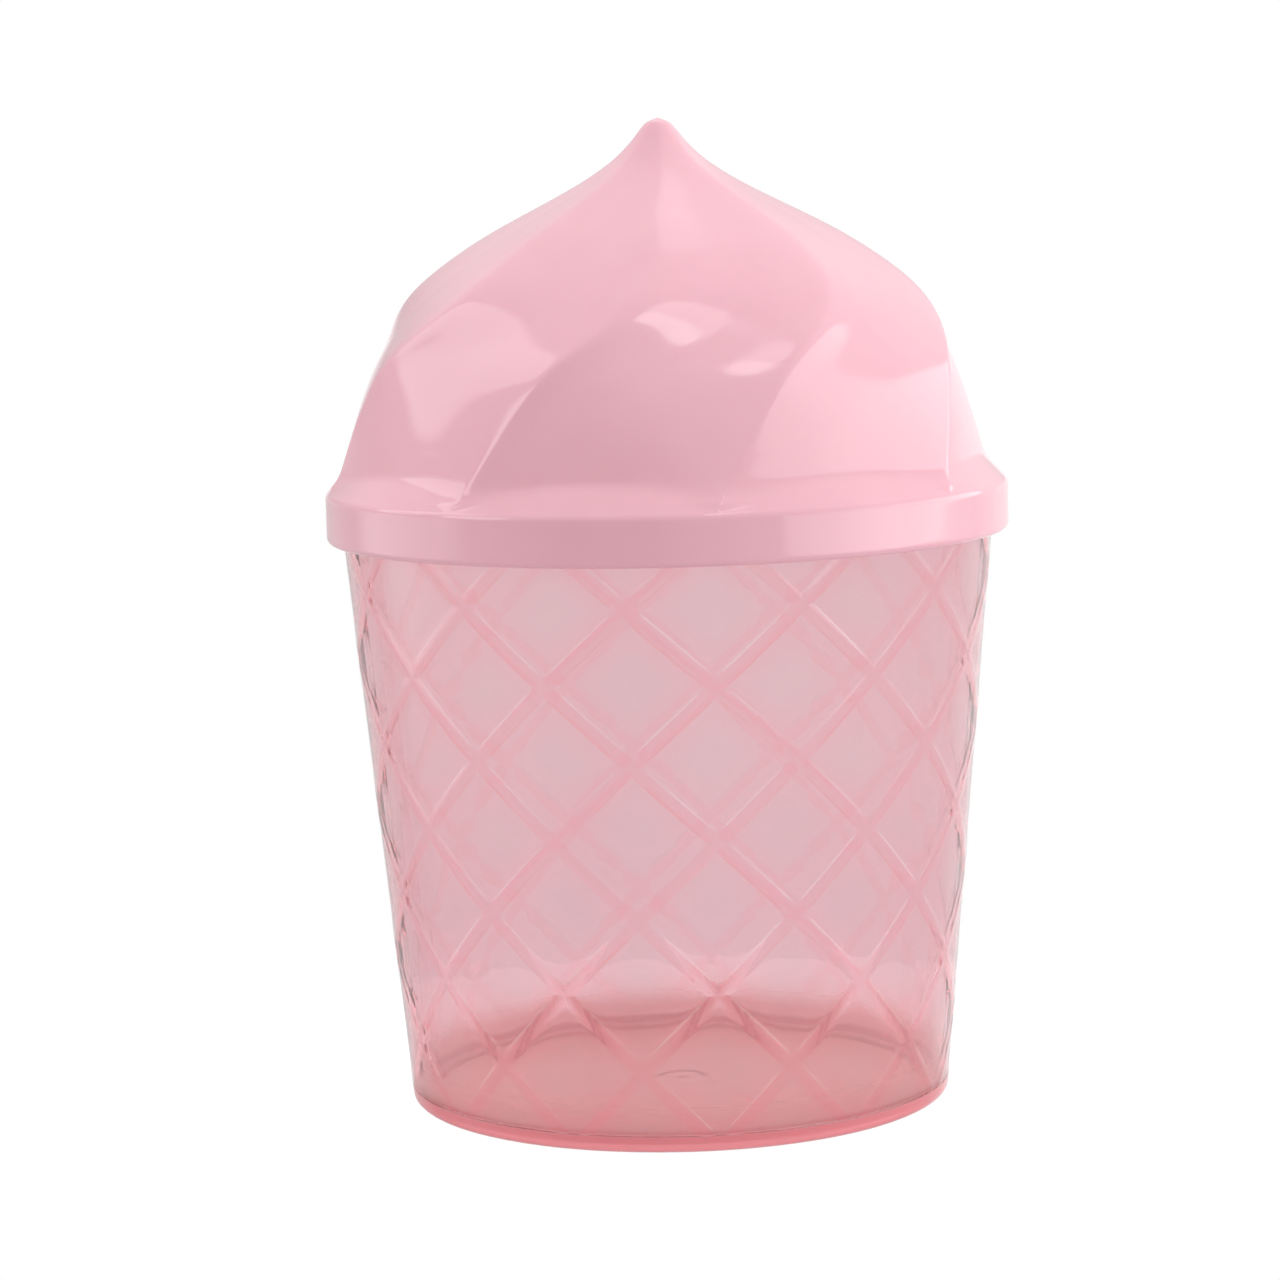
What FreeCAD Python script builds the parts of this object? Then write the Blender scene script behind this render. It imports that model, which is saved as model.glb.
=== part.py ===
import FreeCAD, Part
import math
import os

import Sketcher
from FreeCAD import Vector

# A tapered see-through tub with a raised diagonal lattice, and a push-on lid shaped as a twisted swirl.
# Millimetres. Origin: centre of the tub's base, +Z up. Angles are counted from the front (-Y),
# positive towards +X.

os.makedirs("parts", exist_ok=True)
doc = FreeCAD.newDocument("swirl_tub")

# ---------------------------------------------------------------- driving dimensions
sheet = doc.addObject("Spreadsheet::Sheet", "dims")
cells = [
    # tub
    ("tub_height", 112.8),       # lip above the table
    ("panel_base", 49.7),        # outer radius of the panels, at the table
    ("panel_taper", 0.0931),     # radius gained for each mm of height
    ("wall_thick", 1.5),         # panel to inside
    ("floor_low", 1.2),          # underside of the floor, above the table
    ("floor_high", 2.6),         # top of the floor
    ("foot_inner", 45.8),        # inside radius of the foot ring
    ("heel_round", 1.7),
    ("inner_round", 1.6),
    ("lip_round", 0.6),
    # lattice
    ("rib_height", 0.3),
    ("rib_width", 2.9),          # at the foot of its flanks
    ("cell_count", 12),          # cells around
    ("row_pitch", 13.7),         # from one row of crossings to the next
    ("row_top", 110.7),          # highest row of crossings
    ("even_angle", 7.6),         # a crossing on even rows, degrees
    ("lattice_low", 2.5),
    ("lattice_high", 109.0),
    ("cell_flare", 0.026),       # growth of a cell for each mm outwards, the flanks' draft
    # lid
    ("band_radius", 62.5),
    ("skirt_inner", 60.95),
    ("band_low", 104.5),
    ("band_high", 113.2),
    ("cove_radius", 57.4),       # where the cove meets the swirl
    ("cove_high", 118.3),
    ("band_core", 50.0),         # inside of the ring before it is hollowed
    ("band_low_round", 1.0),
    ("band_high_round", 1.8),
    ("ridge_count", 8),
    ("ridge_angle", -36.5),      # a ridge at the foot of the swirl, degrees
    ("lid_wall", 1.8),
    ("swirl_tip", 180.0),
    ("tip_round", 3.0),
    ("hollow_low", 111.0),
    ("hollow_radius", 58.4),
]
# height, ridge radius, turn in degrees, dip of the lobes between ridges (share of the radius)
swirl = [
    (113.0, 62.2, -1.2, 0.034),
    (116.0, 60.7, 0.6, 0.036),
    (119.0, 59.4, 2.4, 0.036),
    (122.0, 58.7, 4.2, 0.036),
    (125.0, 58.05, 6.0, 0.037),
    (128.0, 57.25, 7.8, 0.045),
    (131.0, 56.45, 9.9, 0.047),
    (134.0, 55.6, 12.2, 0.048),
    (137.0, 54.6, 14.7, 0.052),
    (140.0, 53.2, 18.0, 0.055),
    (143.0, 51.3, 22.9, 0.056),
    (146.0, 49.2, 27.3, 0.056),
    (149.0, 46.7, 30.9, 0.056),
    (152.0, 43.2, 33.4, 0.056),
    (155.0, 39.0, 34.8, 0.056),
    (158.0, 34.4, 36.0, 0.056),
    (161.0, 29.3, 37.0, 0.055),
    (164.0, 23.2, 37.8, 0.052),
    (167.0, 17.3, 38.4, 0.048),
    (170.0, 12.2, 38.9, 0.042),
    (173.0, 8.0, 39.3, 0.034),
    (175.5, 5.3, 39.6, 0.026),
    (177.2, 3.9, 39.8, 0.018),
    (178.6, 2.75, 40.0, 0.010),
]
for n, row in enumerate(swirl, start=1):
    for word, value in zip(("level", "ridge", "turn", "dip"), row):
        cells.append((f"swirl_{word}_{n:02d}", value))
for n, (alias, value) in enumerate(cells, start=1):
    sheet.set(f"A{n}", alias)
    sheet.set(f"B{n}", str(value))
    sheet.setAlias(f"B{n}", alias)
doc.recompute()


def dim(alias):
    return float(sheet.get(alias))


def origin_plane(body, role):
    return next(f for f in body.Origin.OriginFeatures if f.Role == role)


def revolved(label, points):
    """A body turned from a closed outline of straight runs. Each point is two expressions: radius and height."""
    body = doc.addObject("PartDesign::Body", label)
    sketch = body.newObject("Sketcher::SketchObject", label + "_outline")
    sketch.AttachmentSupport = (origin_plane(body, "XZ_Plane"), [""])
    sketch.MapMode = "FlatFace"
    rough = [(sheet_value(a), sheet_value(b)) for a, b in points]
    count = len(rough)
    for i in range(count):
        a, b = rough[i], rough[(i + 1) % count]
        sketch.addGeometry(Part.LineSegment(Vector(a[0], a[1], 0), Vector(b[0], b[1], 0)), False)
    for i in range(count):
        sketch.addConstraint(Sketcher.Constraint("Coincident", i, 2, (i + 1) % count, 1))
    for i, (across, up) in enumerate(points):
        for kind, value, text in (("DistanceX", rough[i][0], across), ("DistanceY", rough[i][1], up)):
            if abs(value) < 1e-9:
                where = -2 if kind == "DistanceX" else -1
                sketch.addConstraint(Sketcher.Constraint("PointOnObject", i, 1, where))
                continue
            at = sketch.addConstraint(Sketcher.Constraint(kind, -1, 1, i, 1, value))
            name = f"{'r' if kind == 'DistanceX' else 'z'}_{i}"
            sketch.renameConstraint(at, name)
            sketch.setExpression(f"Constraints.{name}", text)
    doc.recompute()
    turn = body.newObject("PartDesign::Revolution", label + "_turn")
    turn.Profile = sketch
    turn.ReferenceAxis = (sketch, ["V_Axis"])
    turn.Angle = 360.0
    body.Tip = turn
    doc.recompute()
    return body, turn


def sheet_value(text):
    """The value of an expression over the sheet, worked out by the document itself."""
    probe = doc.getObject("probe") or doc.addObject("App::FeaturePython", "probe")
    if "value" not in probe.PropertiesList:
        probe.addProperty("App::PropertyFloat", "value")
    probe.setExpression("value", text)
    doc.recompute()
    return float(probe.value)


def ring_edges(shape, radius, height):
    """Names of the circular edges of one radius at one height."""
    found = []
    for n, edge in enumerate(shape.Edges, start=1):
        curve = edge.Curve
        if isinstance(curve, Part.Circle):
            if abs(curve.Radius - radius) < 0.02 and abs(curve.Center.z - height) < 0.02:
                found.append(f"Edge{n}")
    return found


def rounded(body, base, name, radius, height, size):
    """Rounds one circular edge. size is the sheet cell that holds the rounding."""
    edges = ring_edges(base.Shape, radius, height)
    if not edges:
        raise RuntimeError(f"{name}: no edge of radius {radius} at {height}")
    fillet = body.newObject("PartDesign::Fillet", name)
    fillet.Base = (base, edges)
    fillet.setExpression("Radius", f"dims.{size}")
    body.Tip = fillet
    doc.recompute()
    return fillet


# ---------------------------------------------------------------- tub
panel = "(dims.panel_base + dims.panel_taper * {z})"
crest_foot = "dims.panel_base + dims.rib_height"
crest_lip = panel.format(z="dims.tub_height") + " + dims.rib_height"
inner_lip = panel.format(z="dims.tub_height") + " - dims.wall_thick"
inner_floor = panel.format(z="dims.floor_high") + " - dims.wall_thick"
cup, last = revolved(
    "tub_cup",
    [
        ("dims.foot_inner", "0"),
        (crest_foot, "0"),
        (crest_lip, "dims.tub_height"),
        (inner_lip, "dims.tub_height"),
        (inner_floor, "dims.floor_high"),
        ("0", "dims.floor_high"),
        ("0", "dims.floor_low"),
        ("dims.foot_inner - 0.4", "dims.floor_low"),
    ],
)
last = rounded(cup, last, "heel", sheet_value(crest_foot), 0.0, "heel_round")
last = rounded(cup, last, "inner_heel", sheet_value(inner_floor), dim("floor_high"), "inner_round")
last = rounded(cup, last, "lip_outside", sheet_value(crest_lip), dim("tub_height"), "lip_round")
last = rounded(cup, last, "lip_inside", sheet_value(inner_lip), dim("tub_height"), "lip_round")

# The layer that the cells are sunk into: from the panels' cone out past the ribs.
span = "(dims.lattice_high - dims.lattice_low)"
layer_out = doc.addObject("Part::Cone", "layer_out")
layer_in = doc.addObject("Part::Cone", "layer_in")
for cone, more in ((layer_out, " + dims.rib_height + 1"), (layer_in, "")):
    cone.setExpression("Radius1", panel.format(z="dims.lattice_low") + more)
    cone.setExpression("Radius2", panel.format(z="dims.lattice_high") + more)
    cone.setExpression("Height", span)
    cone.setExpression("Placement.Base.z", "dims.lattice_low")
layer = doc.addObject("Part::Cut", "lattice_layer")
layer.Base, layer.Tool = layer_out, layer_in
doc.recompute()


def cell(angle, height):
    """One diamond cell: a flared prism that points straight out at this angle, centred at this height."""
    radius = dim("panel_base") + dim("panel_taper") * height
    half_turn = math.radians(180.0 / dim("cell_count"))
    wide, tall = radius * math.sin(half_turn), dim("row_pitch")
    reach = wide * tall / math.hypot(wide, tall)  # centre to the middle of a rib
    share = (reach - dim("rib_width") / 2) / reach
    out = Vector(math.sin(angle), -math.cos(angle), 0)
    side = Vector(math.cos(angle), math.sin(angle), 0)
    rings = []
    for depth in (-3.2, 2.6):
        grow = share * (1 + dim("cell_flare") * depth)
        middle = out * (radius + depth) + Vector(0, 0, height)
        corners = [
            middle + side * (wide * grow),
            middle + Vector(0, 0, tall * grow),
            middle - side * (wide * grow),
            middle - Vector(0, 0, tall * grow),
        ]
        rings.append(Part.makePolygon(corners + corners[:1]))
    return Part.makeLoft(rings, True, True)


# Crossings sit half a cell further round on odd rows, and a cell sits between two crossings of its row.
step = 360.0 / dim("cell_count")
prisms = []
for row in range(9):
    height = dim("row_top") - row * dim("row_pitch")
    start = dim("even_angle") + (step / 2 if row % 2 == 0 else 0.0)
    for k in range(int(dim("cell_count"))):
        prisms.append(cell(math.radians(start + k * step), height))
cells_all = doc.addObject("Part::Feature", "lattice_cells")
cells_all.Shape = Part.makeCompound(prisms)
cells_all.Placement = FreeCAD.Placement()

pockets = doc.addObject("Part::Common", "lattice_pockets")
pockets.Base, pockets.Tool = layer, cells_all
pockets.Refine = False
tub = doc.addObject("Part::Cut", "tub")
tub.Base, tub.Tool = cup, pockets
tub.Refine = False
tub.Label = "tub"
doc.recompute()

# ---------------------------------------------------------------- lid
band, last = revolved(
    "lid_band",
    [
        ("dims.skirt_inner", "dims.band_low"),
        ("dims.band_radius", "dims.band_low"),
        ("dims.band_radius", "dims.band_high"),
        ("dims.cove_radius", "dims.cove_high"),
        ("dims.band_core", "dims.cove_high"),
        ("dims.band_core", "dims.tub_height"),
        ("dims.skirt_inner", "dims.tub_height"),
    ],
)
last = rounded(band, last, "band_edge_low", dim("band_radius"), dim("band_low"), "band_low_round")
last = rounded(band, last, "band_edge_high", dim("band_radius"), dim("band_high"), "band_high_round")


def lobed(height, ridge, turn, dip):
    """One level of the swirl: arcs between the ridges, which stay sharp."""
    count = int(dim("ridge_count"))
    start = math.radians(dim("ridge_angle") + turn)
    turn_each = 2 * math.pi / count

    def at(r, a):
        return Vector(r * math.sin(a), -r * math.cos(a), height)

    edges = []
    for k in range(count):
        a = start + k * turn_each
        edges.append(
            Part.Arc(at(ridge, a), at(ridge * (1 - dip), a + turn_each / 2), at(ridge, a + turn_each)).toShape()
        )
    return Part.Wire(edges)


def lofted(label, rows):
    """A solid through the lobed levels."""
    sections = []
    for n, row in enumerate(rows, start=1):
        section = doc.addObject("Part::Feature", f"{label}_level_{n:02d}")
        section.Shape = lobed(*row)
        section.Placement = FreeCAD.Placement()
        sections.append(section)
    loft = doc.addObject("Part::Loft", label)
    loft.Sections = sections
    loft.Solid, loft.Ruled, loft.Closed = True, False, False
    doc.recompute()
    return loft


outside = [
    tuple(dim(f"swirl_{word}_{n:02d}") for word in ("level", "ridge", "turn", "dip"))
    for n in range(1, len(swirl) + 1)
]
# The inside follows the outside one wall further in, square to its slope, and ends in a plain round mouth.
inside = [
    (dim("hollow_low"), dim("hollow_radius"), outside[0][2], 0.012),
    (dim("hollow_low") + 3.5, dim("hollow_radius"), outside[0][2] + 0.8, 0.012),
]
wall = dim("lid_wall")
for i in range(2, len(outside) - 1):
    (z0, r0, _, _), (z2, r2, _, _) = outside[i - 1], outside[i + 1]
    z, r, turn, dip = outside[i]
    run, rise = r2 - r0, z2 - z0
    length = math.hypot(run, rise)
    r_in, z_in = r - wall * rise / length, z + wall * run / length
    if r_in > 1.2 and z_in > inside[-1][0] + 1.5:
        inside.append((z_in, min(r_in, dim("hollow_radius") - 0.2), turn, dip if i > 3 else 0.03))
swirl_out = lofted("swirl_outside", outside)
swirl_in = lofted("swirl_inside", inside)
tip = doc.addObject("Part::Sphere", "swirl_tip")
tip.setExpression("Radius", "dims.tip_round")
tip.setExpression("Placement.Base.z", "dims.swirl_tip - dims.tip_round")

full = doc.addObject("Part::MultiFuse", "lid_full")
full.Shapes = [band, swirl_out, tip]
lid = doc.addObject("Part::Cut", "swirl_lid")
lid.Base, lid.Tool = full, swirl_in
lid.Label = "swirl_lid"
doc.recompute()

# ---------------------------------------------------------------- checks, then the files
for obj in doc.Objects:
    if "Invalid" in obj.State or "Error" in obj.State:
        raise RuntimeError(f"{obj.Label}: {obj.State}")
for obj in (cup, pockets, tub, band, swirl_out, swirl_in, full, lid):
    shape = obj.Shape
    if shape.isNull() or not shape.isValid():
        raise RuntimeError(f"{obj.Label}: shape is null or not valid")
if not tub.Shape.Volume < cup.Shape.Volume - 1000:
    raise RuntimeError("the lattice cells cut nothing")
if not lid.Shape.Volume < full.Shape.Volume * 0.5:
    raise RuntimeError("the lid isn't hollow")
for obj in (tub, lid):
    shape = obj.Shape
    box = shape.BoundBox
    if len(shape.Solids) != 1:
        raise RuntimeError(f"{obj.Label}: {len(shape.Solids)} solids")
    print(
        f"{obj.Label}: volume {shape.Volume:.0f} mm3, {len(shape.Faces)} faces, "
        f"x {box.XMin:.2f}..{box.XMax:.2f} y {box.YMin:.2f}..{box.YMax:.2f} z {box.ZMin:.2f}..{box.ZMax:.2f}"
    )
    shape.exportStep(f"parts/{obj.Label}.step")
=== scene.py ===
import math

import bmesh
import bpy
import numpy as np
from mathutils import Matrix, Vector


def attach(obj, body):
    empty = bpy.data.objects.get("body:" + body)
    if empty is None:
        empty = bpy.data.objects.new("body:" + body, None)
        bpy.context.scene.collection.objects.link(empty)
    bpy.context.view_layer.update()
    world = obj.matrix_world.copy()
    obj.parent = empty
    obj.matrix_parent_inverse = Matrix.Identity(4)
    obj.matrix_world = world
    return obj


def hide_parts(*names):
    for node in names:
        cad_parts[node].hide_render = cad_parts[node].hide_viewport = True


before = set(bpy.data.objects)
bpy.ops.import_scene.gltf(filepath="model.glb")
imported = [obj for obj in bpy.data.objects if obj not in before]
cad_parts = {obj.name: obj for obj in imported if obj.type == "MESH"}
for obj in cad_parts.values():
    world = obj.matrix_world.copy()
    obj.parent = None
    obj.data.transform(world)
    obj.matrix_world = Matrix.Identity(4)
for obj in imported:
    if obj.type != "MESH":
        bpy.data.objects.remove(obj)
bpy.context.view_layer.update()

scene = bpy.context.scene

# Shape sizes are in millimetres here and become metres when a mesh is made. Heights are counted from the
# table. Angles are in degrees from the front (-Y), positive towards +X.
MM = 0.001


def polar(r, a_deg, z):
    a = np.radians(a_deg)
    return np.stack([r * np.sin(a), -r * np.cos(a), z + 0.0 * a], axis=-1)


def pchip(x, xs, ys):
    """A smooth curve through points that never overshoots them."""
    xs, ys = np.asarray(xs, float), np.asarray(ys, float)
    x = np.asarray(x, float)
    h = np.diff(xs)
    d = np.diff(ys) / h
    m = np.zeros_like(ys)
    w1, w2 = 2 * h[1:] + h[:-1], h[1:] + 2 * h[:-1]
    same = d[:-1] * d[1:] > 0
    with np.errstate(divide="ignore", invalid="ignore"):
        m[1:-1] = np.where(same, (w1 + w2) / (w1 / d[:-1] + w2 / d[1:]), 0.0)
    m[0], m[-1] = d[0], d[-1]
    i = np.clip(np.searchsorted(xs, x) - 1, 0, len(xs) - 2)
    t = (x - xs[i]) / h[i]
    return (
        ys[i] * (1 + 2 * t) * (1 - t) ** 2
        + h[i] * m[i] * t * (1 - t) ** 2
        + ys[i + 1] * t * t * (3 - 2 * t)
        + h[i] * m[i + 1] * t * t * (t - 1)
    )


def smooth_step(x, a, b):
    t = np.clip((x - a) / (b - a), 0, 1)
    return t * t * (3 - 2 * t)


def smooth_max(a, b, k):
    """The larger of two lengths, with the corner between them rounded over about k."""
    return 0.5 * (a + b + np.sqrt((a - b) ** 2 + k * k))


def arc(cx, cz, r, a0, a1, n):
    """Points of an arc in the (radius, height) plane, angles from +radius towards +height."""
    t = np.radians(np.linspace(a0, a1, n))
    return [(cx + r * math.cos(x), cz + r * math.sin(x)) for x in t]


def make_object(name, verts, faces, body, node, smooth_deg=40.0):
    mesh = bpy.data.meshes.new(name)
    mesh.from_pydata((np.asarray(verts) * MM).tolist(), [], faces)
    mesh.validate()
    bm = bmesh.new()
    bm.from_mesh(mesh)
    bmesh.ops.remove_doubles(bm, verts=bm.verts, dist=2e-7)
    bmesh.ops.recalc_face_normals(bm, faces=bm.faces)
    bm.to_mesh(mesh)
    bm.free()
    mesh.shade_smooth()
    obj = bpy.data.objects.new(name, mesh)
    scene.collection.objects.link(obj)
    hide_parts(node)
    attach(obj, body)
    return obj


def ring_faces(first, second, count):
    """Quads between two closed rings of vertices, given the index of each ring's first vertex."""
    j = np.arange(count)
    k = (j + 1) % count
    return np.stack([first + j, first + k, second + k, second + j], axis=1).tolist()


# ---------------------------------------------------------------- lid: a twisted swirl on a rim band
RIDGES = 8
RIDGE_AT = -36.5
LEVEL = [113.0, 114.0, 115.2, 116, 119, 122, 125, 128, 131, 134, 137, 139.5, 142, 145, 148, 150, 152, 155, 158, 161, 164, 167, 170, 173, 176, 178, 179.2, 180.0]
RADIUS = [62.1, 61.8, 61.2, 60.6, 59.4, 58.7, 58.05, 57.2, 56.45, 55.6, 54.6, 53.5, 51.9, 50.0, 47.6, 45.7, 43.1, 39.0, 34.4, 29.3, 22.8, 16.9, 11.9, 7.8, 4.8, 3.2, 2.05, 0.0]
TURN_AT = [113, 115, 119, 122, 125, 128, 131, 134, 139, 140.5, 142, 145, 148, 150, 153, 158, 161, 180]
TURN = [-1.2, 0, 2.4, 4.2, 6, 7.8, 9.9, 12.2, 16.5, 19, 21.5, 26, 29.7, 32, 34, 36, 37, 40]
DIP_AT = [113, 116, 120, 124, 128, 132, 136, 139.5, 145, 150, 160, 170, 180]
DIP = [0.040, 0.039, 0.030, 0.029, 0.0305, 0.0345, 0.0395, 0.0455, 0.0515, 0.055, 0.056, 0.044, 0.0]
SOFT_AT = [113, 136, 146, 160, 172, 180]      # width of the ridges' rounding, in degrees
SOFT = [0.35, 0.45, 2.2, 2.4, 2.6, 6.0]

FINE = np.arange(100.0, 193.0, 0.05)


def evened(at, values, width, low=None, high=None):
    """A table's curve, evened out over about a width, and left as it is below low and above high."""
    raw = pchip(np.clip(FINE, at[0], at[-1]), at, values)
    k = np.arange(-4 * width, 4 * width + 0.01, 0.05)
    k = np.exp(-0.5 * (k / width) ** 2)
    pad = len(k) // 2
    soft = np.convolve(np.pad(raw, pad, mode="edge"), k / k.sum(), mode="valid")[: len(FINE)]
    share = np.ones_like(FINE)
    if low:
        share *= smooth_step(FINE, *low)
    if high:
        share *= 1 - smooth_step(FINE, *high)
    return raw + (soft - raw) * share


RIDGE_FINE = evened(LEVEL, RADIUS, 2.6, (116.5, 122), (164, 172))
TURN_FINE = evened(TURN_AT, TURN, 2.2)
DIP_FINE = evened(DIP_AT, DIP, 3.0, None, (168, 176))
SOFT_FINE = evened(SOFT_AT, SOFT, 2.0)


def at_level(z, fine):
    return float(np.interp(z, FINE, fine))


# columns: a lobe's share of the turn, closer together towards its ridges
PER_LOBE = 40
x = np.arange(PER_LOBE) / PER_LOBE
lobe = x - 0.72 / (2 * math.pi) * np.sin(2 * math.pi * x)
column = (np.arange(RIDGES)[:, None] + lobe[None, :]).ravel() * 360.0 / RIDGES
share = np.tile(lobe, RIDGES)
COLS = len(column)


def lobes(share, dip, soft):
    """Radius of a lobed level as a share of its ridge radius."""
    step = 360.0 / RIDGES
    off = np.minimum(share, 1 - share) * step
    off = np.sqrt(off * off + soft * soft) - soft * 0.75
    s = 1 - off / (step / 2)
    return 1 - dip + dip * np.clip(s, 0, 1) ** 2


BAND_R, BAND_LOW, BAND_HIGH = 62.5, 104.5, 113.2
SKIRT_R, SEAT_Z, MOUTH_R = 60.95, 112.8, 58.4
LOW_ROUND, HIGH_ROUND = 1.05, 1.9


def lid_rows():
    """Every level of the lid's skin, from the mouth, down the skirt, round the band and up the swirl."""
    rows = []  # (radius for each column, height for each column, turn)
    base_turn = at_level(115, TURN_FINE)

    def plain(r, z):
        rows.append((np.full(COLS, r), np.full(COLS, z), base_turn))

    # seat, skirt and lower edge
    for r in np.linspace(MOUTH_R + 0.35, SKIRT_R - 0.3, 6):
        plain(r, SEAT_Z)
    for r, z in arc(SKIRT_R - 0.25, SEAT_Z - 0.25, 0.25, 90, 0, 5):
        plain(r, z)
    for z in np.linspace(SEAT_Z - 0.8, BAND_LOW + 0.7, 8):
        plain(SKIRT_R, z)
    for r, z in arc(SKIRT_R + 0.3, BAND_LOW + 0.3, 0.3, 180, 270, 5):
        plain(r, z)
    for r, z in arc(BAND_R - LOW_ROUND, BAND_LOW + LOW_ROUND, LOW_ROUND, 270, 360, 9):
        plain(r, z)
    # band
    tangent = HIGH_ROUND * math.tan(math.radians(22.5))
    for z in np.linspace(BAND_LOW + LOW_ROUND + 0.5, BAND_HIGH - tangent - 0.4, 9):
        plain(BAND_R, z)
    # upper edge, cove and swirl: the swirl grows out of the cove, so that only its ridges reach the band
    cove = arc(BAND_R - HIGH_ROUND, BAND_HIGH - tangent, HIGH_ROUND, 0, 45, 9)
    run = [(BAND_R - (z - BAND_HIGH), z) for z in np.linspace(cove[-1][1] + 0.25, 124.0, 40)]
    cove_r, cove_z = zip(*(cove + run))
    levels = list(np.array([z for _, z in cove]))
    # even steps along the ridge
    fine = np.concatenate([np.linspace(cove[-1][1], 178.0, 3000), 180 - 2.0 * np.linspace(1, 0, 400)[1:] ** 2])
    rr = pchip(fine, LEVEL, RADIUS)
    along = np.concatenate([[0], np.cumsum(np.hypot(np.diff(fine), np.diff(rr)))])
    steps = np.interp(np.linspace(0, along[-1], 186), along, fine)[1:]
    levels += list(steps)
    for z in levels:
        ridge = at_level(z, RIDGE_FINE) if z < 176 else float(pchip(min(z, 180.0), LEVEL, RADIUS))
        turn = at_level(z, TURN_FINE)
        dip = at_level(z, DIP_FINE)
        soft = at_level(z, SOFT_FINE)
        r = ridge * lobes(share, dip, soft)
        floor_r = np.interp(z, cove_z, cove_r, right=0.0)
        if z < 123:
            k = 0.55 * float(smooth_step(z, 113.4, 115.5))
            r = smooth_max(r, floor_r, k) if z > 113.0 else np.full(COLS, floor_r)
            if z <= 113.0:
                r = np.full(COLS, floor_r)
        rows.append((r, np.full(COLS, z), turn))
    return rows


def lid_hollow():
    """Levels of the hollow, from its mouth up to the flat under the tip."""
    rows = []
    wall = 1.8
    base_turn = at_level(115, TURN_FINE)
    for r, z in arc(MOUTH_R + 0.35, SEAT_Z + 0.35, 0.35, 270, 180, 4):
        rows.append((np.full(COLS, r), np.full(COLS, z), base_turn))
    zs = np.concatenate([np.linspace(113.6, 176.0, 60)])
    for z in zs:
        slope = (at_level(z + 0.2, RIDGE_FINE) - at_level(z - 0.2, RIDGE_FINE)) / 0.4
        n = math.hypot(slope, 1.0)
        r_out = at_level(z, RIDGE_FINE)
        r_in, z_in = r_out - wall / n, z + wall * slope / n
        if z_in < 113.4 or r_in < 0.8:
            continue
        dip = at_level(z, DIP_FINE) * float(np.interp(z_in, [113, 121], [0.2, 1.0]))
        soft = at_level(z, SOFT_FINE) + 0.8
        turn = at_level(z, TURN_FINE)
        r = np.minimum(r_in, float(np.interp(z_in, [113, 119], [MOUTH_R, MOUTH_R - 0.3]))) * lobes(share, dip, soft)
        rows.append((r, np.full(COLS, z_in), turn))
    return rows


def build_lid():
    skin, hollow = lid_rows(), lid_hollow()
    verts, faces = [], []
    # the hollow runs from its top down to the mouth, then the skin goes on from the seat
    order = list(reversed(hollow)) + skin
    for r, z, turn in order:
        verts.append(polar(r, RIDGE_AT + column + turn, z))
    # the last level of the skin is the tip itself
    verts = verts[:-1]
    count = len(verts)
    verts = np.concatenate(verts)
    for i in range(count - 1):
        faces += ring_faces(i * COLS, (i + 1) * COLS, COLS)
    top, under = len(verts), len(verts) + 1
    verts = np.concatenate([verts, [[0, 0, 180.0]], [[0, 0, float(order[0][1][0])]]])
    j = np.arange(COLS)
    k = (j + 1) % COLS
    last = (count - 1) * COLS
    faces += np.stack([last + j, last + k, np.full(COLS, top)], axis=1).tolist()
    faces += np.stack([k, j, np.full(COLS, under)], axis=1).tolist()
    return make_object("swirl_lid_moulding", verts, faces, "lid", "swirl_lid")


# ---------------------------------------------------------------- tub: a tapered cup with a raised lattice
PANEL_R, TAPER = 49.7, 0.0931
WALL, FLOOR_LOW, FLOOR_HIGH, LIP = 1.5, 1.2, 2.6, 112.8
FOOT_IN = 45.8
RIB_H = 0.09
CELLS, PITCH, ROW_TOP, EVEN_AT = 12, 13.7, 110.7, 7.6
LAT_LOW, LAT_HIGH = 3.2, 109.0

# A rib's section: distance from its middle (share of the gap between ribs) and height (share of RIB_H)
RIB_D = np.array([0.0, 0.42, 0.80, 1.04, 1.14, 1.30, 1.41, 1.66]) / 19.85
RIB_S = np.array([1.0, 0.90, 0.64, 0.43, 0.34, 0.20, 0.12, 0.0])
CELL_HALF = np.concatenate([RIB_D, [0.17, 0.33, 0.5]])


def rib(d):
    return np.interp(d, RIB_D, RIB_S, right=0.0)


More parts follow.
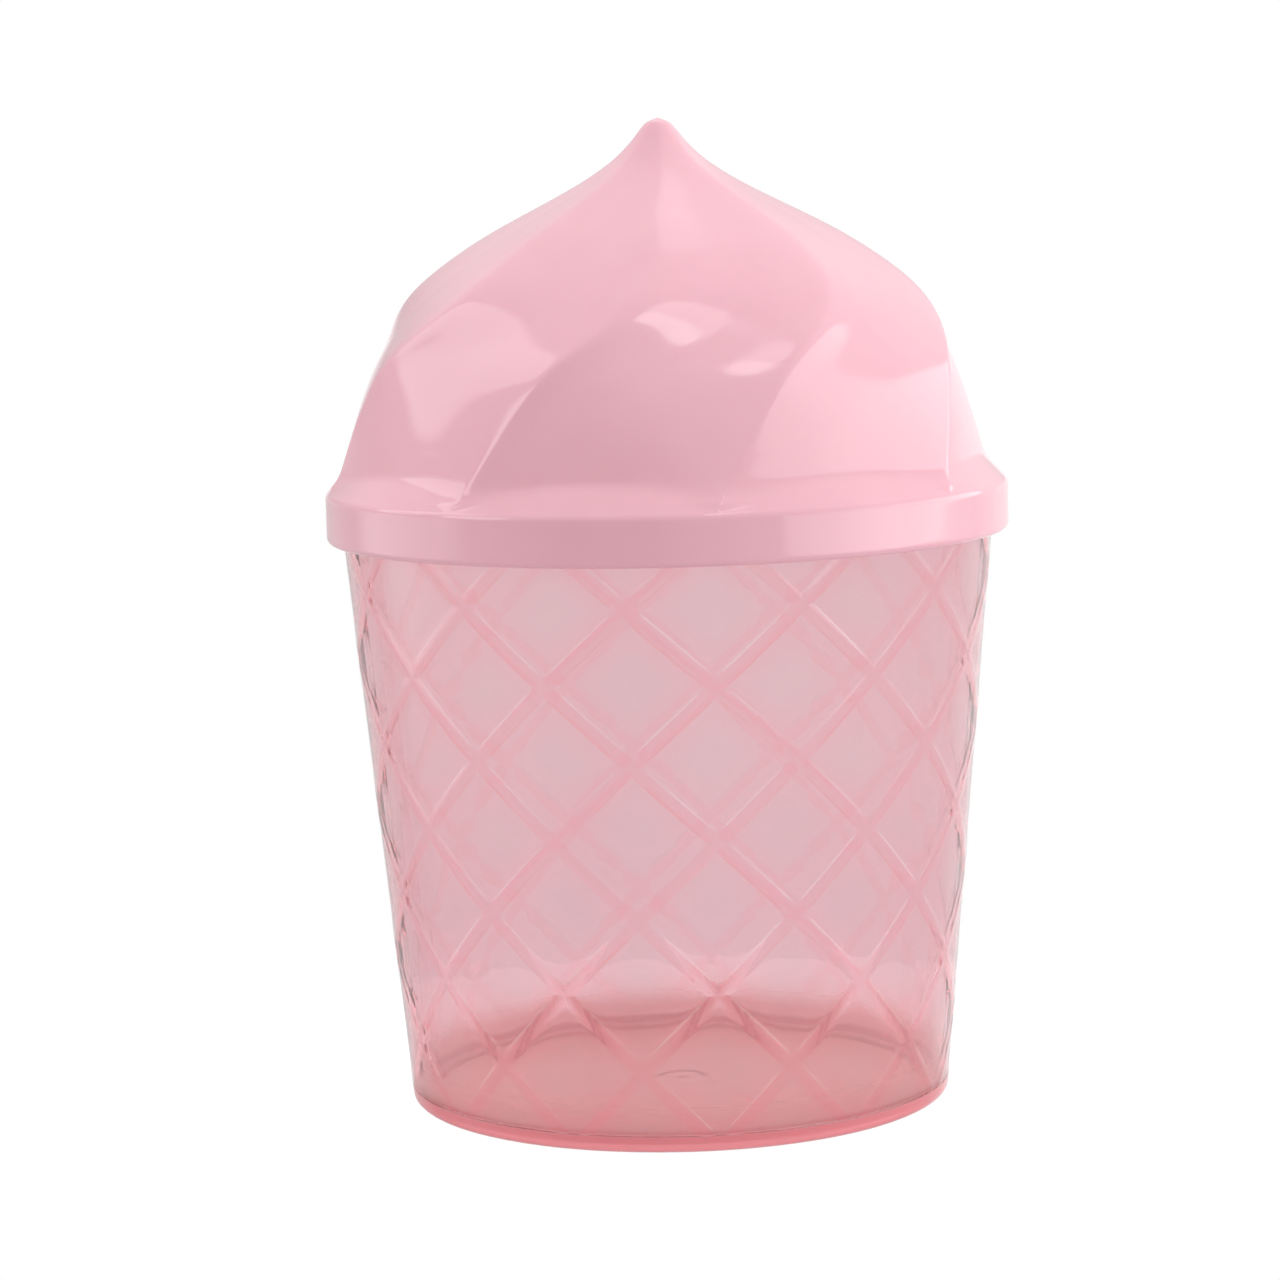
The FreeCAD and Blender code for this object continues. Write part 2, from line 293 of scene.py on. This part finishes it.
def lattice_sheet():
    """The outside between the heel and the rim. In slanted coordinates one family of ribs lies at whole a and the other at whole b, so every rib follows the mesh's own lines."""
    one = np.concatenate([CELL_HALF, 1 - CELL_HALF[-2:0:-1]])
    n = len(one)
    step = 360.0 / CELLS
    total = CELLS * n
    verts, index, quads = [], {}, []

    def grid(i):
        return math.floor(i / n) + one[i % n]

    def vid(i, j):
        turns = math.floor(i / total)  # going round once adds CELLS to both a and b
        key = (i - turns * total, j - turns * total)
        if key not in index:
            index[key] = len(verts)
            verts.append((grid(key[0]), grid(key[1])))
        return index[key]

    for i in range(total):
        for j in range(i - 2, i + n * 9):
            if grid(j + 1) - grid(i) < 0.0 or grid(j) - grid(i + 1) > 8.0:
                continue
            quads.append((vid(i, j), vid(i + 1, j), vid(i + 1, j + 1), vid(i, j + 1)))
    a, b = np.array(verts).T
    z = ROW_TOP - (b - a) * PITCH
    angle = EVEN_AT + step * (a + b) / 2
    rise = np.maximum(rib(np.abs(a - np.round(a))), rib(np.abs(b - np.round(b))))
    xyz = polar(PANEL_R + TAPER * z + RIB_H * rise, angle, z)
    mesh = bpy.data.meshes.new("sheet")
    mesh.from_pydata(xyz.tolist(), [], quads)
    bm = bmesh.new()
    bm.from_mesh(mesh)
    bpy.data.meshes.remove(mesh)
    cuts = LAT_LOW + 0.4, LAT_HIGH - 0.4
    for z_cut, low in ((cuts[0], True), (cuts[1], False)):
        bmesh.ops.bisect_plane(
            bm, geom=bm.verts[:] + bm.edges[:] + bm.faces[:], dist=1e-4, plane_co=(0, 0, z_cut), plane_no=(0, 0, 1), clear_inner=low, clear_outer=not low
        )
    bmesh.ops.triangulate(bm, faces=[f for f in bm.faces if len(f.verts) > 4])
    bm.verts.index_update()
    points = np.array([v.co for v in bm.verts])
    faces = [[v.index for v in f.verts] for f in bm.faces]
    bm.free()
    rims = []
    for z_cut in cuts:
        on = np.where(np.abs(points[:, 2] - z_cut) < 2e-3)[0]
        angle = np.degrees(np.arctan2(points[on, 0], -points[on, 1]))
        rims.append(on[np.argsort(angle)])
    return points, faces, rims


def rib_edge(over, across):
    """One on an edge of a rib, between the crossings: the mask for the painted highlight on the ribs' upper edges and
    the painted shade on their lower edges.
    """
    mm = over * 19.85
    return smooth_step(mm, 1.0, 1.13) * smooth_step(mm, 1.43, 1.31) * smooth_step(np.abs(across) * 19.85, 1.7, 2.6)


def build_tub():
    points, faces, (low, high) = lattice_sheet()
    points = [points]
    count = len(points[0])

    def carry_on(rim, profile, centre_z):
        """Goes on from a rim of the sheet, ring by ring, to the middle of a flat disc. A profile entry is (radius, height), or (None, height, rise) where the ribs still run out."""
        nonlocal count, faces
        rim_points = points[0][rim]
        angle = np.degrees(np.arctan2(rim_points[:, 0], -rim_points[:, 1]))
        rise = np.hypot(rim_points[:, 0], rim_points[:, 1]) - PANEL_R - TAPER * rim_points[:, 2]
        n = len(rim)
        before = rim
        for entry in profile:
            if entry[0] is None:
                r = PANEL_R + TAPER * entry[1] + np.maximum(rise, entry[2] * RIB_H)
            else:
                r = np.full(n, entry[0])
            points.append(polar(r, angle, entry[1]))
            now = np.arange(count, count + n)
            count += n
            nxt = (np.arange(n) + 1) % n
            faces += np.stack([before, before[nxt], now[nxt], now], axis=1).tolist()
            before = now
        points.append(np.array([[0.0, 0.0, centre_z]]))
        nxt = (np.arange(n) + 1) % n
        faces += np.stack([before, before[nxt], np.full(n, count)], axis=1).tolist()
        count += 1

    def outer(z):
        return PANEL_R + TAPER * z + RIB_H

    def inner(z):
        return PANEL_R + TAPER * z - WALL

    fade = [(0.27, 0.06), (0.16, 0.24), (0.05, 0.54), (-0.05, 0.80), (-0.15, 0.94), (-0.28, 1.0)]
    heel, tilt = 1.7, math.degrees(math.atan(TAPER))
    cz = heel
    cx = outer(cz) - heel / math.cos(math.radians(tilt)) + 0.0
    bottom = [(None, LAT_LOW + dz, s) for dz, s in fade]
    bottom += [(outer(z), z) for z in (2.7, 2.4, 2.0)]
    bottom += arc(cx, cz, heel, -tilt, -90, 12)
    bottom += [(cx - 0.25, 0.0), (FOOT_IN + 0.8, 0.0), (FOOT_IN + 0.45, 0.0)]
    bottom += arc(FOOT_IN + 0.35, 0.35, 0.35, -90, -180, 5)
    bottom += [(FOOT_IN - 0.1, 0.6)]
    bottom += arc(FOOT_IN - 0.65, FLOOR_LOW - 0.45, 0.45, 0, 90, 5)
    bottom += [(FOOT_IN - 1.0, FLOOR_LOW), (40.0, FLOOR_LOW), (28.0, FLOOR_LOW), (14.0, FLOOR_LOW), (5.2, FLOOR_LOW), (4.6, FLOOR_LOW)]
    # the round where the plastic was let into the mould
    bottom += [(4.35, FLOOR_LOW + 0.03), (4.15, FLOOR_LOW + 0.12), (4.0, FLOOR_LOW + 0.24), (3.8, FLOOR_LOW + 0.29), (3.4, FLOOR_LOW + 0.30), (1.5, FLOOR_LOW + 0.30), (1.2, FLOOR_LOW + 0.28), (0.95, FLOOR_LOW + 0.16), (0.8, FLOOR_LOW + 0.10), (0.5, FLOOR_LOW + 0.08)]
    carry_on(low, bottom, FLOOR_LOW + 0.08)

    lip = 0.6
    top = [(None, LAT_HIGH - dz, s) for dz, s in fade]
    top += [(outer(z), z) for z in (109.6, 110.8, 111.9)]
    top += arc(outer(LIP - lip) - lip, LIP - lip, lip, -tilt, 90, 9)
    top += [(outer(LIP) - lip - 0.12, LIP), (inner(LIP) + lip + 0.12, LIP)]
    top += arc(inner(LIP - lip) + lip, LIP - lip, lip, 90, 180 - tilt, 9)
    top += [(inner(z), z) for z in np.concatenate([[LIP - 0.95, LIP - 2.0], np.linspace(108, 16, 12), [12, 9, 7, 5.6, 4.6]])]
    round_in = 1.6
    fx = inner(FLOOR_HIGH + round_in) - round_in / math.cos(math.radians(tilt))
    top += [(fx + round_in * math.cos(t), FLOOR_HIGH + round_in + round_in * math.sin(t)) for t in np.radians(np.linspace(-tilt, -90, 9))]
    top += [(fx - 0.3, FLOOR_HIGH), (42.0, FLOOR_HIGH), (30.0, FLOOR_HIGH), (16.0, FLOOR_HIGH), (6.0, FLOOR_HIGH), (1.5, FLOOR_HIGH)]
    carry_on(high, top, FLOOR_HIGH)
    obj = make_object("tub_moulding", np.concatenate(points), faces, "tub", "tub")
    # tints for the finish: where the plastic is thicker, the ribs and the edges of the panels beside them, and the
    # heel; a little darker low on the wall; the floor and the low inner wall salmon and less clear, partly the
    # plastic's pink and partly painted light for the light that comes up through the floor from the table; painted
    # light over the inner corner by the floor; a painted highlight on the ribs' upper edges and painted shade on their
    # lower edges
    co = np.empty(len(obj.data.vertices) * 3)
    obj.data.vertices.foreach_get("co", co)
    co = co.reshape(-1, 3) / MM
    r, z = np.hypot(co[:, 0], co[:, 1]), co[:, 2]
    rise = (r - PANEL_R - TAPER * z) / RIB_H
    outside = (rise > -1.0) & (z > 1.0)
    down = (ROW_TOP - z) / PITCH
    round_by = (np.degrees(np.arctan2(co[:, 0], -co[:, 1])) - EVEN_AT) / (360.0 / CELLS)
    a, b = round_by - down / 2, round_by + down / 2
    off = np.minimum(np.abs(a - np.round(a)), np.abs(b - np.round(b)))
    for name, value in {
        "low": smooth_step(z, 70.0, 30.0) * smooth_step(z, 10.0, 28.0),
        "rib": np.maximum(smooth_step(off * 19.85, 1.42, 1.14), np.maximum(smooth_step(z, LAT_LOW + 0.25, LAT_LOW), smooth_step(z, LAT_HIGH - 0.25, LAT_HIGH))) * outside,
        "edge": smooth_step(off, 0.34, 0.09) * outside,
        # painted light: the floor and the low inner wall are made salmon and less clear, the plastic's own pink plus
        # the light that comes up through the floor from the table
        "base": np.maximum(smooth_step(r, 48.5, 42.0) * smooth_step(z, 4.0, 2.9), 0.75 * smooth_step(z, 13.0, 4.0) * (rise < -8.0) * (z > 1.5)),
        # painted light: the inner corner where the wall meets the floor is made salmon and nearly opaque like the
        # floor, in place of its dark line
        "corner": smooth_step(z, 9.0, 4.5) * (r > 45.0) * (rise < -8.0) * (z > 2.5),
        "heel": (r > 48.2) * smooth_step(z, 3.3, 2.9) * smooth_step(z, -1.0, 0.9),
        # painted highlight: a pale line along each rib's upper edge
        "rib_edge_painted_highlight": np.maximum(rib_edge(a - np.round(a), b - np.round(b)), rib_edge(np.round(b) - b, a - np.round(a))) * outside * (z > 3.6),
        # painted shade: a darker salmon line along each rib's lower edge
        "rib_edge_painted_shade": np.maximum(rib_edge(np.round(a) - a, b - np.round(b)), rib_edge(b - np.round(b), a - np.round(a))) * outside * (z > 3.6),
    }.items():
        obj.data.attributes.new(name, "FLOAT", "POINT").data.foreach_set("value", value.astype(np.float32))
    return obj


tub = build_tub()
lid = build_lid()

# ---------------------------------------------------------------- materials
def new_material(name):
    mat = bpy.data.materials.new(name)
    mat.use_nodes = True
    nt = mat.node_tree
    nt.nodes.clear()
    out = nt.nodes.new("ShaderNodeOutputMaterial")
    bsdf = nt.nodes.new("ShaderNodeBsdfPrincipled")
    nt.links.new(bsdf.outputs["BSDF"], out.inputs["Surface"])
    coords = nt.nodes.new("ShaderNodeTexCoord")
    return mat, nt, out, bsdf, coords.outputs["Object"]


def noise(nt, where, scale, detail=2.0, rough=0.5, distortion=0.0):
    n = nt.nodes.new("ShaderNodeTexNoise")
    n.inputs["Scale"].default_value = scale
    n.inputs["Detail"].default_value = detail
    n.inputs["Roughness"].default_value = rough
    n.inputs["Distortion"].default_value = distortion
    nt.links.new(where, n.inputs["Vector"])
    return n.outputs["Fac"]


def ramp(nt, fac, stops):
    r = nt.nodes.new("ShaderNodeValToRGB")
    els = r.color_ramp.elements
    while len(els) < len(stops):
        els.new(0.5)
    for e, (pos, col) in zip(els, stops):
        e.position = pos
        e.color = (*col, 1.0)
    nt.links.new(fac, r.inputs["Fac"])
    return r.outputs["Color"]


def spread(nt, fac, low, high, frm=0.3, to=0.7):
    m = nt.nodes.new("ShaderNodeMapRange")
    m.inputs["From Min"].default_value = frm
    m.inputs["From Max"].default_value = to
    m.inputs["To Min"].default_value = low
    m.inputs["To Max"].default_value = high
    nt.links.new(fac, m.inputs["Value"])
    return m.outputs["Result"]


def bump(nt, heights):
    """Several layers of relief: (height, distance in metres, strength)."""
    normal = None
    for height, distance, strength in heights:
        b = nt.nodes.new("ShaderNodeBump")
        b.inputs["Strength"].default_value = strength
        b.inputs["Distance"].default_value = distance
        nt.links.new(height, b.inputs["Height"])
        if normal is not None:
            nt.links.new(normal, b.inputs["Normal"])
        normal = b.outputs["Normal"]
    return normal


def srgb(r, g, b):
    f = lambda c: c / 12.92 if c <= 0.04045 else ((c + 0.055) / 1.055) ** 2.4
    return tuple(f(v / 255) for v in (r, g, b))


def lid_material():
    mat, nt, out, bsdf, where = new_material("pale_pink_plastic")
    flow = noise(nt, where, 26, 3.0, 0.55, 0.6)
    colour = ramp(nt, flow, [(0.30, srgb(229, 173, 185)), (0.70, srgb(234, 180, 191))])
    nt.links.new(colour, bsdf.inputs["Base Color"])
    grain = noise(nt, where, 900, 2.0)
    rough = spread(nt, noise(nt, where, 60, 4.0), 0.045, 0.07)
    nt.links.new(rough, bsdf.inputs["Roughness"])
    nt.links.new(bump(nt, [(flow, 0.0004, 0.06), (grain, 0.00004, 0.10)]), bsdf.inputs["Normal"])
    bsdf.inputs["IOR"].default_value = 1.5
    bsdf.inputs["Subsurface Weight"].default_value = 0.15
    bsdf.inputs["Subsurface Radius"].default_value = (1.0, 0.55, 0.6)
    bsdf.inputs["Subsurface Scale"].default_value = 0.003
    return mat


def tub_material():
    mat, nt, out, bsdf, where = new_material("clear_pink_plastic")
    flow = noise(nt, where, 30, 3.0, 0.55, 0.5)
    colour = ramp(nt, flow, [(0.30, (0.896, 0.835, 0.856)), (0.70, (0.911, 0.853, 0.872))])
    clear = None
    for name, tint, clearness in (
        ("low", (0.881, 0.806, 0.834), None),
        ("edge", (0.945, 0.797, 0.837), None),
        ("rib", (0.975, 0.718, 0.772), None),
        # painted light on the floor and the low inner wall, partly the plastic's own pink
        ("base", (1.0, 0.69, 0.645), 0.58),
        # painted light over the inner corner by the floor
        ("corner", (0.985, 0.69, 0.68), 0.2),
        ("heel", (0.81, 0.28, 0.31), 0.35),
        # painted shade on the ribs' lower edges
        ("rib_edge_painted_shade", (0.965, 0.655, 0.655), None),
        # painted highlight on the ribs' upper edges
        ("rib_edge_painted_highlight", (1.0, 0.97, 0.97), 0.84),
    ):
        at = nt.nodes.new("ShaderNodeAttribute")
        at.attribute_name = name
        share = at.outputs["Fac"]
        if name in ("rib_edge_painted_highlight", "rib_edge_painted_shade"):
            # the painted highlight and painted shade on the rib edges are sharper in some places than in others
            patchy = nt.nodes.new("ShaderNodeMath")
            patchy.operation = "MULTIPLY"
            nt.links.new(share, patchy.inputs[0])
            nt.links.new(spread(nt, noise(nt, where, 45, 2.0), 0.4, 1.0, 0.40, 0.60), patchy.inputs[1])
            share = patchy.outputs["Value"]
        mix = nt.nodes.new("ShaderNodeMix")
        mix.data_type = "RGBA"
        nt.links.new(share, mix.inputs["Factor"])
        nt.links.new(colour, mix.inputs["A"])
        mix.inputs["B"].default_value = (*tint, 1.0)
        colour = mix.outputs["Result"]
        if clearness is not None:
            mix = nt.nodes.new("ShaderNodeMix")
            nt.links.new(share, mix.inputs["Factor"])
            if clear is None:
                mix.inputs["A"].default_value = 0.94
            else:
                nt.links.new(clear, mix.inputs["A"])
            mix.inputs["B"].default_value = clearness
            clear = mix.outputs["Result"]
    nt.links.new(colour, bsdf.inputs["Base Color"])
    nt.links.new(clear, bsdf.inputs["Transmission Weight"])
    rough = spread(nt, noise(nt, where, 80, 4.0), 0.02, 0.035)
    nt.links.new(rough, bsdf.inputs["Roughness"])
    nt.links.new(bump(nt, [(flow, 0.0003, 0.05)]), bsdf.inputs["Normal"])
    bsdf.inputs["IOR"].default_value = 1.40
    vol = nt.nodes.new("ShaderNodeVolumeAbsorption")
    vol.inputs["Color"].default_value = (0.90, 0.02, 0.07, 1.0)
    vol.inputs["Density"].default_value = 100.0
    nt.links.new(vol.outputs["Volume"], out.inputs["Volume"])
    return mat


tub.data.materials.clear()
tub.data.materials.append(tub_material())
lid.data.materials.clear()
lid.data.materials.append(lid_material())

# ---------------------------------------------------------------- floor, light and camera
def floor_material():
    mat, nt, out, bsdf, where = new_material("pale_floor")
    colour = ramp(nt, noise(nt, where, 3.0, 3.0), [(0.3, (0.095, 0.095, 0.095)), (0.7, (0.105, 0.105, 0.105))])
    nt.links.new(colour, bsdf.inputs["Base Color"])
    bsdf.inputs["Roughness"].default_value = 0.9
    bsdf.inputs["Specular IOR Level"].default_value = 0.1
    bsdf.inputs["Emission Color"].default_value = (1.0, 1.0, 1.0, 1.0)
    bsdf.inputs["Emission Strength"].default_value = 0.96
    mat.cycles.emission_sampling = "NONE"
    return mat


def stage_object(name, verts, faces, material, z=0.0):
    mesh = bpy.data.meshes.new(name)
    mesh.from_pydata(verts, [], faces)
    mesh.shade_smooth()
    mesh.materials.append(material)
    obj = bpy.data.objects.new(name, mesh)
    obj.location.z = z
    scene.collection.objects.link(obj)
    return obj


def build_floor():
    """A round pale table."""
    n = 96
    t = np.linspace(0, 2 * math.pi, n, endpoint=False)
    verts, faces = [(0.0, 0.0, 0.0)], [(0, 1 + i, 1 + (i + 1) % n) for i in range(n)]
    rings = [0.05, 0.08, 0.1, 0.12]
    for r in rings:
        verts += [(r * math.cos(a), r * math.sin(a), 0.0) for a in t]
    for k in range(len(rings) - 1):
        faces += np.array(ring_faces(1 + (k + 1) * n, 1 + k * n, n))[:, ::1].tolist()
    floor = stage_object("floor", verts, faces, floor_material(), -0.0002)
    floor.visible_glossy = False  # its edge would show as a line in the gloss low on the sides


def build_backdrop():
    """A white dome far behind everything. It's only looked at: it neither lights the object nor shades it."""
    mat = bpy.data.materials.new("white_backdrop")
    mat.use_nodes = True
    nt = mat.node_tree
    nt.nodes.clear()
    out = nt.nodes.new("ShaderNodeOutputMaterial")
    glow = nt.nodes.new("ShaderNodeEmission")
    glow.inputs["Strength"].default_value = 1.0
    nt.links.new(glow.outputs["Emission"], out.inputs["Surface"])
    mat.cycles.emission_sampling = "NONE"
    bm = bmesh.new()
    bmesh.ops.create_uvsphere(bm, u_segments=48, v_segments=24, radius=14.0)
    verts = [tuple(v.co) for v in bm.verts]
    faces = [[v.index for v in f.verts] for f in bm.faces]
    bm.free()
    obj = stage_object("backdrop", verts, faces, mat)
    obj.visible_diffuse = obj.visible_glossy = obj.visible_shadow = obj.visible_volume_scatter = False


build_floor()
build_backdrop()


def towards(azimuth, elevation):
    """A direction from the object: azimuth from the front (-Y) towards +X, both in degrees."""
    a, e = math.radians(azimuth), math.radians(elevation)
    return Vector((math.sin(a) * math.cos(e), -math.cos(a) * math.cos(e), math.sin(e)))


# Soft boxes far off all round: azimuth, elevation, half width, half height (degrees), softness of the edge (share of
# the size), turn (degrees), radiance
SOFTBOXES = [
    (84, 6.5, 47, 16.0, 0.06, -10, 1.9),
    (94, 7, 37, 15.5, 0.06, -11, 0.6),
    (82, -7, 36, 3.5, 0.3, 0, 0.8),
    (108, 25, 48, 36, 0.5, 0, 0.32),
    (-102.8, 33.3, 20.8, 10.3, 0.1, -61.9, 1.9),
    (-70, 22, 12, 12, 0.15, 0, 3.0),
    (32.8, 61.7, 14.4, 2.6, 0.2, -44.7, 2.4),
    (24, 55.7, 6.0, 3.2, 0.25, -44.7, 2.2),
    (179.7, 49.5, 7.0, 20.5, 0.1, -28.9, 0.6),
    (-98, -5, 24, 8, 0.35, 0, 1.4),
]


def build_world():
    """Plain studio surroundings: white, with soft boxes, and dim in front."""
    world = bpy.data.worlds.new("studio")
    scene.world = world
    world.use_nodes = True
    world.cycles.sampling_method = "MANUAL"
    world.cycles.sample_map_resolution = 1024
    nt = world.node_tree
    nt.nodes.clear()
    out = nt.nodes.new("ShaderNodeOutputWorld")
    back = nt.nodes.new("ShaderNodeBackground")
    nt.links.new(back.outputs["Background"], out.inputs["Surface"])
    coords = nt.nodes.new("ShaderNodeTexCoord")
    way = coords.outputs["Generated"]

    def step(value, low, high, at_low, at_high):
        m = nt.nodes.new("ShaderNodeMapRange")
        m.interpolation_type = "SMOOTHSTEP"
        for key, v in (("From Min", low), ("From Max", high), ("To Min", at_low), ("To Max", at_high)):
            m.inputs[key].default_value = v
        nt.links.new(value, m.inputs["Value"])
        return m.outputs["Result"]

    def calc(kind, a, b=None):
        m = nt.nodes.new("ShaderNodeMath")
        m.operation = kind
        for socket, v in zip(m.inputs, (a, b)):
            if isinstance(v, (int, float)):
                socket.default_value = v
            elif v is not None:
                nt.links.new(v, socket)
        return m.outputs["Value"]

    def along(v):
        m = nt.nodes.new("ShaderNodeVectorMath")
        m.operation = "DOT_PRODUCT"
        nt.links.new(way, m.inputs[0])
        m.inputs[1].default_value = v
        return m.outputs["Value"]

    # the dim place in front, and a little more light from above
    rise = along((0, 0, 1))
    total = calc("MULTIPLY", step(along(towards(-24, 1)), 0.78, 0.97, 1.0, 0.48), step(rise, 0.1, 0.8, 0.92, 1.28))
    total = calc("MULTIPLY", total, step(rise, -0.10, 0.02, 0.9, 1.0))
    # low behind the object it's brighter
    behind = calc("MULTIPLY", step(along(towards(180, 0)), 0.55, 0.9, 0.0, 0.5), step(rise, 0.0, 0.08, 1.0, 0.0))
    total = calc("MULTIPLY", total, calc("ADD", 1.0, behind))
    total = calc("MULTIPLY", total, step(along(towards(-142, -10)), 0.80, 0.94, 1.0, 0.65))
    for azimuth, elevation, wide, tall, soft, turn, radiance in SOFTBOXES:
        ahead = towards(azimuth, elevation)
        side = ahead.cross(Vector((0, 0, 1))).normalized()
        over = side.cross(ahead)
        t = math.radians(turn)
        side, over = math.cos(t) * side + math.sin(t) * over, -math.sin(t) * side + math.cos(t) * over
        depth = calc("MAXIMUM", along(ahead), 0.001)
        off = 0.0
        for axis, half in ((side, wide), (over, tall)):
            share = calc("DIVIDE", along(axis), depth)
            off = calc("ADD", calc("POWER", calc("ABSOLUTE", calc("DIVIDE", share, math.tan(math.radians(half)))), 3.0), off)
        mask = step(calc("POWER", off, 1 / 3), 1 - soft, 1 + soft, radiance, 0.0)
        total = calc("ADD", total, mask)
    nt.links.new(total, back.inputs["Strength"])


build_world()

scene.view_settings.view_transform = "Standard"
scene.view_settings.look = "None"
scene.cycles.max_bounces = 14
scene.cycles.diffuse_bounces = 3
scene.cycles.glossy_bounces = 12
scene.cycles.transmission_bounces = 12
scene.cycles.volume_bounces = 0
scene.cycles.blur_glossy = 0.0
scene.cycles.sample_clamp_indirect = 0.0
scene.cycles.transparent_max_bounces = 8

cam_data = bpy.data.cameras.new("camera")
cam_data.sensor_width = 36.0
cam_data.lens = 4067.81 / 1280 * 36.0
cam_data.clip_start, cam_data.clip_end = 0.02, 40.0
cam = bpy.data.objects.new("camera", cam_data)
scene.collection.objects.link(cam)
pitch, roll, yaw = 0.12689, -0.02549, -0.00749
ahead = Vector((math.sin(yaw) * math.cos(pitch), math.cos(yaw) * math.cos(pitch), -math.sin(pitch)))
right = Vector((math.cos(yaw), -math.sin(yaw), 0.0))
up = right.cross(ahead)
right2 = math.cos(roll) * right + math.sin(roll) * up
up2 = -math.sin(roll) * right + math.cos(roll) * up
pose = Matrix((right2, up2, -ahead)).transposed().to_4x4()
pose.translation = Vector((0.0, -0.744446, 0.179485))
cam.matrix_world = pose
scene.camera = cam
